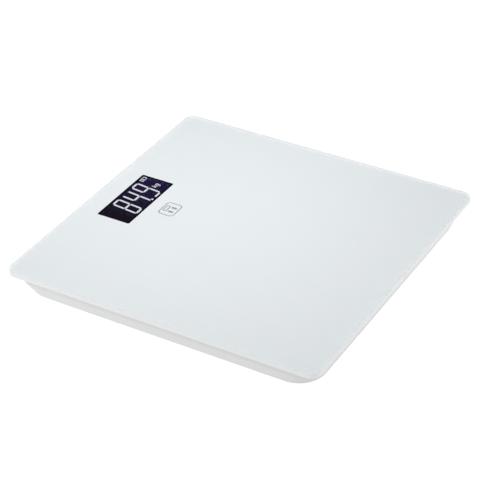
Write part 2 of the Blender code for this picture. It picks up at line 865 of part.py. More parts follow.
# ------------------------------------------------------------------ battery compartment
def make_batteries():
    """Two AAA cells side by side, the second one turned round."""
    shoulder, nub_radius, nub = 0.6, 1.9, 0.9
    radius, length = BATTERY_RADIUS, BATTERY_LENGTH
    profile = [
        (0.0, length),
        (nub_radius, length),
        (nub_radius, length - nub),
        (radius - shoulder, length - nub),
        (radius, length - nub - shoulder),
        (radius, shoulder),
        (radius - shoulder, 0.0),
        (0.0, 0.0),
    ]
    reach = BAY_X - 1.0
    for name, side, direction in (("battery_1", 1, 1), ("battery_2", -1, -1)):
        cell = turned(
            name,
            profile,
            (direction * (reach - length), BATTERY_Y + side * BATTERY_PITCH / 2, BATTERY_AXIS_Z),
            "battery_sleeve",
            sides=MID_ROUND,
            axis="X",
        )
        if direction < 0:
            cell.rotation_euler = (0.0, math.radians(-90), 0.0)


def contact_plate(name, side_x, low_y, high_y):
    """A thin nickelled plate against the end wall of the compartment."""
    near, far = sorted((side_x * (BAY_X - 0.7), side_x * (BAY_X - FIT)))
    return box(name, (near, low_y, 6.4), (far, high_y, 15.8), "nickel")


def contact_spring(name, side_x, y):
    """A conical coil that grows out of the plate towards the battery's flat end."""
    turns, steps = 2.6, 13
    base, tip = BAY_X - 0.9, BAY_X - 4.1
    points = []
    for k in range(int(turns * steps) + 1):
        share = k / (turns * steps)
        angle = 2 * math.pi * turns * share
        radius = 3.9 - 1.7 * share
        points.append(
            (
                side_x * (base + (tip - base) * share),
                y + radius * math.cos(angle),
                BATTERY_AXIS_Z + radius * math.sin(angle),
            )
        )
    return mesh_from_wire(wire(name, points, 0.35))


def make_contacts():
    low, high = BATTERY_Y - BATTERY_PITCH / 2, BATTERY_Y + BATTERY_PITCH / 2
    reach = 4.6
    bridge = contact_plate("contact_bridge", 1, low - reach, high + reach)
    boolean(bridge, "UNION", [contact_spring("bridge_coil", 1, low)])
    negative = contact_plate("contact_negative", -1, high - reach, high + reach)
    boolean(negative, "UNION", [contact_spring("negative_coil", -1, high)])
    contact_plate("contact_positive", -1, low - reach, low + reach)


def make_door():
    """The door turns about its knuckle. Its latch tongue stands up at the free end."""
    hinge = Vector(mm(HINGE_X, BATTERY_Y, HINGE_Z))
    door = box(
        "battery_door",
        (HINGE_X, BATTERY_Y - DOOR_Y, TRAY_BOTTOM),
        (DOOR_END, BATTERY_Y + DOOR_Y, TRAY_BOTTOM + DOOR_THICKNESS),
        "white_plastic",
    )
    latch_half, latch_top, catch_bottom, catch_top = 4.0, 7.4, 5.9, 6.8
    rib_start, rib_pitch, rib_width, rib_half, rib_height = 20.0, 2.6, 1.0, 6.0, 0.45
    ribs = [
        box(
            f"door_rib_{k}",
            (rib_start + rib_pitch * k, BATTERY_Y - rib_half + k, TRAY_BOTTOM - rib_height),
            (rib_start + rib_width + rib_pitch * k, BATTERY_Y + rib_half - k, TRAY_BOTTOM + 0.5),
        )
        for k in range(3)
    ]
    boolean(
        door,
        "UNION",
        [
            cylinder(
                "knuckle",
                (HINGE_X, HINGE_Z),
                KNUCKLE,
                BATTERY_Y - DOOR_Y,
                BATTERY_Y + DOOR_Y,
                axis="Y",
                sides=MID_ROUND,
            ),
            cylinder(
                "hinge_pins",
                (HINGE_X, HINGE_Z),
                1.0,
                BATTERY_Y - DOOR_Y - 1.7,
                BATTERY_Y + DOOR_Y + 1.7,
                axis="Y",
                sides=SMALL_ROUND,
            ),
            box(
                "latch_tongue",
                (DOOR_END - 1.6, BATTERY_Y - latch_half, TRAY_BOTTOM + 1.0),
                (DOOR_END - 0.4, BATTERY_Y + latch_half, latch_top),
            ),
            box(
                "latch_catch",
                (DOOR_END - 1.0, BATTERY_Y - latch_half, catch_bottom),
                (DOOR_END + 0.1, BATTERY_Y + latch_half, catch_top),
            ),
            *ribs,
        ],
    )
    door.data.transform(Matrix.Translation(-hinge))
    door.location = hinge


# ------------------------------------------------------------------ cables
def make_cables():
    """Each load cell's cable leaves its seat by the notch and runs over the tray's floor to the board."""
    radius, start_height, floor = 1.0, 13.6, TRAY_FLOOR + 1.3
    board_height = (BOARD_BOTTOM + BOARD_TOP) / 2
    board_side = BOARD_X + FIT
    rear_route = [
        (108.0, 95.6, start_height),
        (108.0, 84.0, start_height),
        (107.0, 79.5, 9.5),
        (103.0, 77.0, floor + 0.4),
        (88.0, 80.0, floor),
        (66.0, 88.0, floor),
        (56.0, 92.0, 9.4),
        (board_side, 93.0, board_height),
    ]
    front_route = [
        (108.0, -95.6, start_height),
        (108.0, -84.0, start_height),
        (107.4, -79.5, 9.5),
        (106.0, -73.0, floor + 0.4),
        (102.0, -40.0, floor),
        (101.0, 20.0, floor),
        (92.0, 54.0, floor),
        (72.0, 72.0, floor),
        (57.0, 79.0, 9.4),
        (board_side, 80.5, board_height),
    ]
    for name, (side_x, side_y) in CORNERS.items():
        route = rear_route if side_y > 0 else front_route
        points = smooth_path([(side_x * px, py, pz) for px, py, pz in route], 8.0)
        wire(f"cell_cable_{name}", points, radius, "cable_jacket")

    lead_start = -BAY_X - 0.1
    low, high = BATTERY_Y - BATTERY_PITCH / 2, BATTERY_Y + BATTERY_PITCH / 2
    leads = {
        "battery_lead_negative": ("black_jacket", high, -28.0, -20.0),
        "battery_lead_positive": ("red_jacket", low, -31.0, -25.0),
    }
    for name, (jacket, start_y, bend_x, end_x) in leads.items():
        route = [
            (lead_start, start_y, 15.2),
            (bend_x, start_y + 1.0, 15.2),
            (bend_x - 2.0, start_y + 6.0, 15.0),
            (bend_x, 56.0, 11.0),
            (end_x, 66.0, board_height),
            (end_x, BOARD_FRONT - FIT, board_height),
        ]
        wire(name, smooth_path(route, 3.0), 0.7, jacket)


# ------------------------------------------------------------------ assembly
def main():
    """Builds every sub-part in its place."""
    make_platform()
    make_tray()
    for name, (side_x, side_y) in CORNERS.items():
        make_corner(name, side_x, side_y)
    make_board()
    make_display()
    make_switch()
    make_batteries()
    make_contacts()
    make_door()
    make_cables()


main()
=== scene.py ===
import math

import bmesh
import bpy
from mathutils import Matrix, Vector


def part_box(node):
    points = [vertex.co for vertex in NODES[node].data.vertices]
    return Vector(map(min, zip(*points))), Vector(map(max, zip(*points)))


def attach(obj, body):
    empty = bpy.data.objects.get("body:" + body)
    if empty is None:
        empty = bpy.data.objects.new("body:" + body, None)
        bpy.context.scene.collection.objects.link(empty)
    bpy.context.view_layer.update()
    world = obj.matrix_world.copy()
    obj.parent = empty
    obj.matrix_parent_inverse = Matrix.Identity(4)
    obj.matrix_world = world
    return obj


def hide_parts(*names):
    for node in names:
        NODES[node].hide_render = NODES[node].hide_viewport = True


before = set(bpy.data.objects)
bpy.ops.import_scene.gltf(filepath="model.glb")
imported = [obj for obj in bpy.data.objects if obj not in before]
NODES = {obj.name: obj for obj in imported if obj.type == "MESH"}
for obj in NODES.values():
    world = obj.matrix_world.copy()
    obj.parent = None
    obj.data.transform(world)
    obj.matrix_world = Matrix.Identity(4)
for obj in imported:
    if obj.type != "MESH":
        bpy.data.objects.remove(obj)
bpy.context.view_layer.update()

# Looks of a glass-topped bathroom scale. Lengths are written in millimetres and MM makes them metres.
MM = 0.001
CORNERS = ("front_left", "front_right", "rear_left", "rear_right")

GLASS_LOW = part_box("glass_platform")[0]
FILM_LOW, FILM_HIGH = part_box("decor_film")
PANEL_LOW, PANEL_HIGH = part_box("lcd_panel")
TRAY_LOW, TRAY_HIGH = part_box("base_tray")
WINDOW_CENTRE = (PANEL_LOW + PANEL_HIGH) / 2
WINDOW_SIZE = Vector((75.0, 33.5)) * MM
FILM_CORNER = 9.5 * MM
SLANT = math.tan(math.radians(5.6))  # the digits lean to the right
CLEAR = (0.985, 0.992, 0.99)  # tint of the glass


# ------------------------------------------------------------------ material nodes
class Surface:
    """A Principled material and short calls for the nodes that most of the materials share."""

    def __init__(self, name, colour, roughness, metallic=0.0, **values):
        self.material = bpy.data.materials.new(name)
        self.material.use_nodes = True
        self.tree = self.material.node_tree
        self.shader = self.tree.nodes["Principled BSDF"]
        self.output = self.tree.nodes["Material Output"]
        self.put("Base Color", (*colour, 1.0))
        self.put("Roughness", roughness)
        self.put("Metallic", metallic)
        for key, value in values.items():
            self.put(key.replace("_", " "), value)
        self.place = self.node("ShaderNodeTexCoord").outputs["Object"]

    def put(self, name, value):
        self.connect(self.shader.inputs[name], value)

    def connect(self, socket, value):
        if isinstance(value, bpy.types.NodeSocket):
            self.tree.links.new(value, socket)
        else:
            socket.default_value = value

    def node(self, kind, inputs=(), **settings):
        made = self.tree.nodes.new(kind)
        for name, value in settings.items():
            setattr(made, name, value)
        for name, value in dict(inputs).items():
            self.connect(made.inputs[name], value)
        return made

    def maths(self, operation, first, second=0.0, clamp=False):
        made = self.node("ShaderNodeMath", {0: first, 1: second}, operation=operation, use_clamp=clamp)
        return made.outputs[0]

    def scaled(self, factors):
        """The place in the frame, stretched along each axis, so that a pattern runs along one of them."""
        made = self.node("ShaderNodeVectorMath", {0: self.place, 1: factors}, operation="MULTIPLY")
        return made.outputs[0]

    def axes(self):
        parts = self.node("ShaderNodeSeparateXYZ", {0: self.place})
        return parts.outputs[0], parts.outputs[1], parts.outputs[2]

    def noise(self, size, detail=2.0, along=(1.0, 1.0, 1.0), low=0.3, high=0.7):
        """Noise whose blobs are about size millimetres across, spread over 0 to 1."""
        inputs = {"Vector": self.scaled(along), "Scale": 1.0 / (size * MM), "Detail": detail}
        raw = self.node("ShaderNodeTexNoise", inputs).outputs[0]
        return self.spread(raw, low, high, 0.0, 1.0)

    def spread(self, value, low, high, start, end):
        inputs = {0: value, 1: low, 2: high, 3: start, 4: end}
        return self.node("ShaderNodeMapRange", inputs, clamp=True).outputs[0]

    def mix(self, factor, first, second):
        made = self.node("ShaderNodeMix", data_type="RGBA")
        self.connect(made.inputs[0], factor)
        self.connect(made.inputs[6], (*first, 1.0) if isinstance(first, tuple) else first)
        self.connect(made.inputs[7], (*second, 1.0) if isinstance(second, tuple) else second)
        return made.outputs[2]

    def above(self, value, edge, soft=0.02):
        """0 below edge and 1 above it, both in millimetres, with a soft step between."""
        return self.spread(value, (edge - soft) * MM, (edge + soft) * MM, 0.0, 1.0)

    def vary(self, first, second, size, detail=3.0, along=(1.0, 1.0, 1.0)):
        self.put("Base Color", self.mix(self.noise(size, detail, along), first, second))

    def vary_roughness(self, low, high, size, detail=3.0, along=(1.0, 1.0, 1.0)):
        self.put("Roughness", self.spread(self.noise(size, detail, along), 0.0, 1.0, low, high))

    def bump(self, height, depth, strength=1.0):
        """Raises the surface by height times depth millimetres, on top of what was there before."""
        made = self.node("ShaderNodeBump", {"Height": height, "Distance": depth * MM, "Strength": strength})
        before = self.shader.inputs["Normal"].links
        if before:
            self.tree.links.new(before[0].from_socket, made.inputs["Normal"])
        self.put("Normal", made.outputs[0])


def dress(surface, *nodes):
    for name in nodes:
        NODES[name].data.materials.clear()
        NODES[name].data.materials.append(surface.material)


def every_corner(prefix):
    return [f"{prefix}_{corner}" for corner in CORNERS]


# ------------------------------------------------------------------ materials
def clear_glass():
    """Polished toughened glass. Light for what is behind it passes straight through."""
    glass = Surface("clear_glass", CLEAR, 0.0, IOR=1.5)
    geometry = glass.node("ShaderNodeNewGeometry").outputs
    height = glass.node("ShaderNodeSeparateXYZ", {0: geometry["Normal"]}).outputs[2]
    upright = glass.maths("ABSOLUTE", height)
    ground = glass.spread(upright, 0.85, 0.95, 1.0, 0.0)  # only the ground edges are frosted
    grain = glass.spread(glass.noise(0.6, 3.0), 0.0, 1.0, 0.78, 0.92)
    frosted = glass.maths("MULTIPLY", ground, grain)
    smears = glass.spread(glass.noise(38.0, 4.0), 0.0, 1.0, 0.0, 0.012)
    glass.put("Roughness", glass.maths("ADD", glass.maths("MULTIPLY", ground, 0.35), smears))
    glass.put("Transmission Weight", glass.maths("SUBTRACT", 1.0, frosted))
    glass.put("Base Color", glass.mix(ground, CLEAR, (0.60, 0.61, 0.61)))
    glass.put("Emission Color", (0.97, 1.0, 0.995, 1.0))  # painted light: the frosted edges glow as if light were led through the plate
    led = glass.spread(geometry["Backfacing"], 0.0, 1.0, 0.23, 0.36)  # painted glow, brighter on the inner side
    glass.put("Emission Strength", glass.maths("MULTIPLY", frosted, led))
    path = glass.node("ShaderNodeLightPath").outputs
    lets_through = glass.maths("MAXIMUM", path["Is Shadow Ray"], path["Is Diffuse Ray"])
    lets_through = glass.maths("MULTIPLY", lets_through, glass.maths("SUBTRACT", 1.0, ground))
    plain = glass.node("ShaderNodeBsdfTransparent", {0: (*CLEAR, 1.0)})
    sides = {0: lets_through, 1: glass.shader.outputs[0], 2: plain.outputs[0]}
    chosen = glass.node("ShaderNodeMixShader", sides)
    glass.tree.links.new(chosen.outputs[0], glass.output.inputs["Surface"])
    return glass


def white_print():
    """White ceramic ink behind the glass, with the faint cloudiness of a screen-printed coat."""
    ink = Surface("white_print", (0.82, 0.85, 0.88), 0.55)
    ink.put("Specular IOR Level", 0.0)
    ink.vary((0.815, 0.845, 0.873), (0.826, 0.855, 0.881), 14.0, 5.0)
    ink.bump(ink.noise(0.4, 2.0), 0.003, 0.1)
    return ink


def black_print():
    ink = Surface("black_print", (0.006, 0.005, 0.008), 0.5)
    ink.put("Specular IOR Level", 0.0)
    ink.vary((0.003, 0.0025, 0.004), (0.006, 0.005, 0.007), 3.0)
    return ink


def grey_print():
    ink = Surface("grey_print", (0.30, 0.31, 0.33), 0.5)
    ink.put("Specular IOR Level", 0.0)
    ink.vary((0.29, 0.30, 0.32), (0.33, 0.34, 0.36), 1.2)
    return ink


def moulded(name, light, dark, roughness, grain=0.012):
    """Injection-moulded plastic: spark-eroded grain, faint flow marks and slightly uneven gloss."""
    plastic = Surface(name, light, roughness)
    plastic.vary(light, dark, 46.0, 4.0)
    plastic.vary_roughness(roughness - 0.06, roughness + 0.07, 9.0, 4.0)
    plastic.bump(plastic.noise(0.35, 3.0), grain, 0.5)
    plastic.bump(plastic.noise(24.0, 2.0), 0.05, 0.15)
    return plastic


def tray_plastic(name, rim):
    """The white plastic of the shell, with painted shade on the wall under the overhang of the glass,
    standing in for its shadow there.
    """
    plastic = moulded(name, (0.78, 0.785, 0.785), (0.75, 0.755, 0.755), 0.5)
    height = plastic.axes()[2]
    # painted shade: the base colour darkens in patches towards the rim, from 8 mm below it, in place of the
    # shadow under the glass
    share = plastic.spread(height, rim - 8.0 * MM, rim - 2.2 * MM, 0.0, 1.0)
    patches = plastic.spread(plastic.noise(6.0, 3.0), 0.0, 1.0, 0.7, 1.0)
    painted_shade = plastic.maths("MULTIPLY", share, patches)
    unshaded = plastic.shader.inputs["Base Color"].links[0].from_socket
    plastic.put("Base Color", plastic.mix(painted_shade, unshaded, (0.68, 0.68, 0.675)))
    return plastic


def plated_steel(name, light, dark, roughness, along=(1.0, 1.0, 1.0)):
    """Plated sheet or wire: drawn marks along one direction, with dull and bright patches."""
    steel = Surface(name, light, roughness, 1.0)
    steel.vary(light, dark, 2.4, 4.0)
    steel.vary_roughness(roughness - 0.08, roughness + 0.14, 1.1, 5.0, along)
    steel.bump(steel.noise(0.25, 3.0, along), 0.006, 0.35)
    return steel


def load_cell_steel(top):
    """Plated steel plate, with the white resin over its strain gauge above the plate's face."""
    steel = plated_steel("load_cell_steel", (0.62, 0.60, 0.56), (0.50, 0.49, 0.46), 0.32, (0.05, 1.0, 1.0))
    resin = steel.above(steel.axes()[2], top)
    plate = steel.shader.inputs["Base Color"].links[0].from_socket
    steel.put("Base Color", steel.mix(resin, plate, (0.78, 0.77, 0.72)))
    steel.put("Metallic", steel.maths("SUBTRACT", 1.0, resin))
    return steel


def rubber():
    pad = Surface("foot_rubber", (0.46, 0.46, 0.45), 0.85)
    pad.vary((0.50, 0.50, 0.485), (0.42, 0.42, 0.41), 3.5, 5.0)
    pad.vary_roughness(0.74, 0.95, 1.6)
    pad.bump(pad.noise(0.3, 4.0), 0.02, 0.6)
    return pad


def circuit_board():
    """Green solder mask over copper tracks, with tinned pads."""
    board = Surface("circuit_board", (0.01, 0.12, 0.05), 0.3)
    grid = {"Vector": board.scaled((1.0, 1.0, 0.0)), "Scale": 260.0, "Randomness": 0.75}
    cells = board.node("ShaderNodeTexVoronoi", grid, feature="DISTANCE_TO_EDGE").outputs["Distance"]
    tracks = board.spread(cells, 0.05, 0.09, 1.0, 0.0)
    dots = {"Vector": board.scaled((1.0, 1.0, 0.0)), "Scale": 330.0, "Randomness": 0.55}
    centres = board.node("ShaderNodeTexVoronoi", dots, distance="MANHATTAN").outputs["Distance"]
    pads = board.spread(centres, 0.10, 0.14, 1.0, 0.0)
    mask = board.mix(tracks, (0.006, 0.10, 0.035), (0.02, 0.20, 0.07))
    board.put("Base Color", board.mix(pads, mask, (0.68, 0.68, 0.66)))
    board.put("Metallic", pads)
    board.vary_roughness(0.24, 0.40, 4.0)
    board.bump(tracks, 0.03, 0.5)
    return board


def display_panel():
    """A dark display behind a polariser: black on the left, with a purple light leak on the right."""
    panel = Surface("display_panel", (0.004, 0.003, 0.008), 0.12)
    half = WINDOW_SIZE.x / 2
    side = panel.spread(panel.axes()[0], -half, half, 0.0, 1.0)
    leak = panel.mix(panel.noise(9.0, 1.0), (0.014, 0.0045, 0.044), (0.007, 0.010, 0.048))
    glow = panel.mix(side, (0.0040, 0.0022, 0.0050), leak)
    panel.put("Emission Color", glow)
    panel.put("Emission Strength", 1.0)
    panel.put("Specular IOR Level", 0.1)
    panel.vary((0.002, 0.002, 0.004), (0.004, 0.003, 0.006), 0.8)
    panel.bump(panel.noise(0.2, 2.0), 0.001, 0.2)
    return panel


def lit_segment():
    """The backlight through the open segments, a little uneven from one end to the other."""
    light = Surface("lit_segment", (0.05, 0.05, 0.05), 0.4)
    light.put("Emission Color", light.mix(light.noise(7.0, 3.0), (0.66, 0.68, 0.78), (0.80, 0.83, 0.88)))
    light.put("Emission Strength", 1.0)
    return light


def light_guide():
    """Acrylic plate with the fine dots that let its light out."""
    guide = Surface("light_guide", (0.80, 0.84, 0.88), 0.25, IOR=1.49)
    guide.put("Coat Weight", 0.4)
    grid = {"Vector": guide.place, "Scale": 900.0, "Randomness": 0.0}
    dots = guide.node("ShaderNodeTexVoronoi", grid).outputs["Distance"]
    bright = guide.spread(dots, 0.25, 0.35, 1.0, 0.0)
    guide.put("Base Color", guide.mix(bright, (0.70, 0.75, 0.80), (0.92, 0.94, 0.95)))
    guide.vary_roughness(0.18, 0.34, 2.0)
    return guide


def phosphor():
    led = Surface("led_package", (0.85, 0.85, 0.82), 0.4)
    led.vary((0.86, 0.86, 0.84), (0.90, 0.80, 0.30), 1.6, 1.0)
    led.bump(led.noise(0.2, 2.0), 0.01, 0.4)
    return led


def foam_tape():
    foam = Surface("foam_tape", (0.70, 0.70, 0.67), 0.9)
    pores = {"Vector": foam.place, "Scale": 1600.0}
    cells = foam.node("ShaderNodeTexVoronoi", pores).outputs["Distance"]
    walls = foam.spread(cells, 0.0, 0.7, 0.0, 1.0)
    foam.put("Base Color", foam.mix(walls, (0.55, 0.55, 0.53), (0.76, 0.76, 0.73)))
    foam.bump(cells, 0.08, 0.6)
    foam.vary_roughness(0.82, 0.96, 3.0)
    return foam


def zebra_silicone():
    """Silicone with thin conductive layers across it."""
    strip = Surface("zebra_silicone", (0.5, 0.4, 0.4), 0.6)
    layers = {"Vector": strip.place, "Scale": 800.0}
    bands = strip.node("ShaderNodeTexWave", layers, bands_direction="X").outputs[1]
    strip.put("Base Color", strip.mix(bands, (0.04, 0.04, 0.04), (0.66, 0.52, 0.50)))
    strip.vary_roughness(0.5, 0.7, 1.5)
    return strip


def epoxy():
    blob = Surface("epoxy_blob", (0.012, 0.012, 0.013), 0.25)
    blob.vary((0.010, 0.010, 0.011), (0.02, 0.02, 0.021), 1.5)
    blob.vary_roughness(0.18, 0.36, 2.2)
    blob.bump(blob.noise(1.8, 3.0), 0.08, 0.5)
    return blob


def capacitor_can(top):
    """A dark sleeve with a pale stripe on one side, and the bare aluminium end above it."""
    can = Surface("capacitor_can", (0.02, 0.03, 0.08), 0.4)
    low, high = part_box("capacitor")
    x, _, z = can.axes()
    bare = can.above(z, top)
    stripe = can.above(x, (high.x - (high.x - low.x) * 0.14) / MM, 0.05)
    sleeve = can.mix(stripe, (0.015, 0.02, 0.05), (0.55, 0.57, 0.60))
    can.put("Base Color", can.mix(bare, sleeve, (0.80, 0.80, 0.80)))
    can.put("Metallic", bare)
    can.vary_roughness(0.28, 0.46, 0.8)
    return can


def battery_sleeve(name, direction):
    """A printed sleeve with a warm band at the plus end, between bare steel ends."""
    low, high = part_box(name)
    cell = Surface(f"{name}_sleeve", (0.02, 0.10, 0.07), 0.3)
    x, _, _ = cell.axes()
    along = x if direction > 0 else cell.maths("MULTIPLY", x, -1.0)
    plus_end = (high.x if direction > 0 else -low.x) / MM
    minus_end = (low.x if direction > 0 else -high.x) / MM
    band = cell.above(along, plus_end - 13.0)
    sleeve = cell.mix(band, (0.012, 0.075, 0.055), (0.62, 0.27, 0.09))
    line = cell.maths("MULTIPLY", cell.above(along, plus_end - 14.2), cell.maths("SUBTRACT", 1.0, band))
    sleeve = cell.mix(line, sleeve, (0.80, 0.80, 0.78))
    cap = cell.above(along, plus_end - 1.35)
    base = cell.maths("SUBTRACT", 1.0, cell.above(along, minus_end + 0.45))
    steel = cell.maths("MAXIMUM", cap, base)
    cell.put("Base Color", cell.mix(steel, sleeve, (0.66, 0.65, 0.62)))
    cell.put("Metallic", steel)
    cell.vary_roughness(0.22, 0.38, 3.0)
    cell.bump(cell.noise(0.4, 2.0), 0.004, 0.3)
    cell.put("Coat Weight", 0.3)
    return cell


def jacket(name, colour, dark):
    """Soft PVC: a satin skin with slight extrusion marks."""
    pvc = Surface(name, colour, 0.5)
    pvc.vary(colour, dark, 5.0, 4.0)
    pvc.vary_roughness(0.42, 0.62, 2.5)
    pvc.bump(pvc.noise(0.3, 3.0), 0.01, 0.4)
    return pvc


def label_paper():
    label = Surface("label_film", (0.72, 0.73, 0.74), 0.3)
    label.vary((0.70, 0.71, 0.72), (0.75, 0.76, 0.77), 6.0, 4.0)
    label.vary_roughness(0.24, 0.38, 1.2)
    label.bump(label.noise(2.5, 3.0), 0.02, 0.2)
    return label


def dress_nodes(ink, pad_rubber):
    """Gives every CAD node its finish."""
    white = moulded("white_abs", (0.78, 0.785, 0.785), (0.75, 0.755, 0.755), 0.5)
    grey = moulded("grey_abs", (0.36, 0.37, 0.38), (0.32, 0.33, 0.34), 0.52, 0.02)
    black = moulded("black_plastic", (0.018, 0.018, 0.020), (0.03, 0.03, 0.032), 0.42)
    screws = plated_steel("zinc_plated_steel", (0.60, 0.61, 0.62), (0.46, 0.47, 0.49), 0.34)
    nickel = plated_steel("nickel_contact", (0.70, 0.68, 0.63), (0.56, 0.54, 0.50), 0.26, (1.0, 0.2, 1.0))
    cell_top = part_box("load_cell_front_left")[1].z / MM - 0.55
    dress(clear_glass(), "glass_platform")
    dress(tray_plastic("tray_abs", TRAY_HIGH.z), "base_tray")
    dress(white, "battery_door", *every_corner("foot"))
    dress(grey, "unit_button", *every_corner("cell_seat"))
    dress(black, "lcd_frame", "switch_body", "switch_plunger")
    dress(screws, *every_corner("foot_screw"), *every_corner("tray_screw"), *every_corner("pcb_screw"))
    dress(load_cell_steel(cell_top), *every_corner("load_cell"))
    dress(nickel, "contact_bridge", "contact_negative", "contact_positive")
    dress(pad_rubber, *every_corner("foot_pad"))
    dress(foam_tape(), *every_corner("adhesive_pad"))
    dress(circuit_board(), "main_pcb")
    dress(display_panel(), "lcd_panel")
    dress(light_guide(), "light_guide")
    dress(phosphor(), "backlight_led")
    dress(zebra_silicone(), "zebra_strip")
    dress(epoxy(), "controller_chip")
    dress(capacitor_can(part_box("capacitor")[1].z / MM - 0.2), "capacitor")
    dress(battery_sleeve("battery_1", 1), "battery_1")
    dress(battery_sleeve("battery_2", -1), "battery_2")
    dress(jacket("grey_jacket", (0.55, 0.55, 0.54), (0.48, 0.48, 0.47)), *every_corner("cell_cable"))
    dress(jacket("red_jacket", (0.50, 0.03, 0.025), (0.40, 0.02, 0.02)), "battery_lead_positive")
    dress(jacket("black_jacket", (0.02, 0.02, 0.02), (0.035, 0.035, 0.035)), "battery_lead_negative")
    dress(ink, "decor_film")


# ------------------------------------------------------------------ thin flat pieces
def rounded_outline(centre, size, corner, steps=6):
    """Points of a rectangle with round corners, anticlockwise from above, in metres."""
    points = []
    for turn in range(4):
        side_x = 1 if turn in (0, 3) else -1
        side_y = 1 if turn in (0, 1) else -1
        middle = Vector(
            (
                centre[0] + side_x * (size[0] / 2 - corner),
                centre[1] + side_y * (size[1] / 2 - corner),
            )
        )
        for step in range(steps + 1):
            angle = math.radians(90 * (turn + step / steps))
            points.append(middle + corner * Vector((math.cos(angle), math.sin(angle))))
    return points


def add_ring(bm, outer, inner, low, high):
    """A flat frame between two outlines that have the same number of points."""
    outer_low, inner_low, outer_high, inner_high = (
        [bm.verts.new((*point, z)) for point in line] for z in (low, high) for line in (outer, inner)
    )
    count = len(outer)
    for k in range(count):
        after = (k + 1) % count
        bm.faces.new((outer_high[k], outer_high[after], inner_high[after], inner_high[k]))
        bm.faces.new((inner_low[k], inner_low[after], outer_low[after], outer_low[k]))
        bm.faces.new((outer_low[k], outer_low[after], outer_high[after], outer_high[k]))
        bm.faces.new((inner_low[after], inner_low[k], inner_high[k], inner_high[after]))


def add_plate(bm, outline, low, high):
    """A flat plate with this outline, anticlockwise from above."""
    bottom = [bm.verts.new((*point, low)) for point in outline]
    top = [bm.verts.new((*point, high)) for point in outline]
    bm.faces.new(top)
    bm.faces.new(list(reversed(bottom)))
    for k in range(len(outline)):
        after = (k + 1) % len(outline)
        bm.faces.new((bottom[k], bottom[after], top[after], top[k]))


def add_stroke(bm, points, width, low, high, closed=False):
    """A band of even width along a line of points, mitred where it turns."""
    points = [Vector(point) for point in points]
    count = len(points)
    left, right = [], []
    for k, point in enumerate(points):
        before = points[k - 1] if closed or k else None
        after = points[(k + 1) % count] if closed or k < count - 1 else None
        spans = [(a, b) for a, b in ((before, point), (point, after)) if a is not None and b is not None]
        ways = [(b - a).normalized() for a, b in spans]
        across = [Vector((-way.y, way.x)) for way in ways]
        middle = sum(across, Vector((0.0, 0.0))).normalized()
        reach = width / 2 / max(0.5, middle.dot(across[0]))
        left.append(point + middle * reach)
        right.append(point - middle * reach)
    if closed:
        add_ring(bm, right, left, low, high)
    else:
        add_plate(bm, right + left[::-1], low, high)


def finish_piece(name, bm, surface, body):
    mesh = bpy.data.meshes.new(name)
    bmesh.ops.recalc_face_normals(bm, faces=bm.faces)
    bm.to_mesh(mesh)
    bm.free()
    mesh.materials.append(surface.material)
    piece = bpy.data.objects.new(name, mesh)
    bpy.context.scene.collection.objects.link(piece)
    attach(piece, body)
    return piece


def make_prints(ink):
    """The white ink on the back of the glass, open at the window, and the black ink round the display."""
    low = GLASS_LOW.z + 0.02 * MM
    high = low + 0.08 * MM
    size = FILM_HIGH - FILM_LOW
    steps = 8
    bm = bmesh.new()
    outer = rounded_outline((0.0, 0.0), size, FILM_CORNER, steps)
    window = rounded_outline(WINDOW_CENTRE, WINDOW_SIZE, 1.4 * MM, steps)
    add_ring(bm, outer, window, low, high)
    back_print = finish_piece("back_print", bm, ink, "platform")
    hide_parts("decor_film")

    bm = bmesh.new()
    edge = Vector((1.3, 1.7)) * MM
    inner = rounded_outline(WINDOW_CENTRE, WINDOW_SIZE - 2 * edge, 0.8 * MM, steps)
    add_ring(bm, rounded_outline(WINDOW_CENTRE, WINDOW_SIZE, 1.4 * MM, steps), inner, low, high)
    finish_piece("window_border", bm, black_print(), "platform")


# ------------------------------------------------------------------ what the display shows
DIGIT_HALF_WIDTH, DIGIT_HALF_HEIGHT, STROKE = 4.4, 13.1, 1.95
SEGMENTS = {
    "a": ((-1, 1), (1, 1)),
    "b": ((1, 1), (1, 0)),
    "c": ((1, 0), (1, -1)),
    "d": ((-1, -1), (1, -1)),
    "e": ((-1, 0), (-1, -1)),
    "f": ((-1, 1), (-1, 0)),
    "g": ((-1, 0), (1, 0)),
}
DIGITS = {"8": "abcdefg", "4": "bcfg", "9": "abcdfg"}
READING = (("8", -13.3), ("4", 2.1), ("9", 17.5))  # each digit's centre, from the window's middle
READING_Y = 0.5  # height of the digits' middle above the window's middle
SEGMENT_GAP = 0.22


def slanted(points):
    """Places from millimetres round the window's middle into the frame, leaning to the right."""
    placed = []
    for x, y in points:
        x += (y - READING_Y) * SLANT
        placed.append(Vector((WINDOW_CENTRE.x + x * MM, WINDOW_CENTRE.y + y * MM)))
    return placed


def segment_outline(centre_x, start, end):
    """A long hexagon from one corner of the digit to the next."""
    middle = Vector((centre_x, READING_Y))
    half = Vector((DIGIT_HALF_WIDTH, DIGIT_HALF_HEIGHT))
    start, end = (middle + half * Vector(corner) for corner in (start, end))
    way = (end - start).normalized()
    across = Vector((-way.y, way.x)) * STROKE / 2
    tip, shoulder = way * SEGMENT_GAP, way * (SEGMENT_GAP + STROKE / 2)
    return [
        start + tip,
        start + shoulder - across,
        end - shoulder - across,
        end - tip,
        end - shoulder + across,
        start + shoulder + across,
    ]


def segment_dot(x, y, half):
    return [(x - half, y - half), (x + half, y - half), (x + half, y + half), (x - half, y + half)]


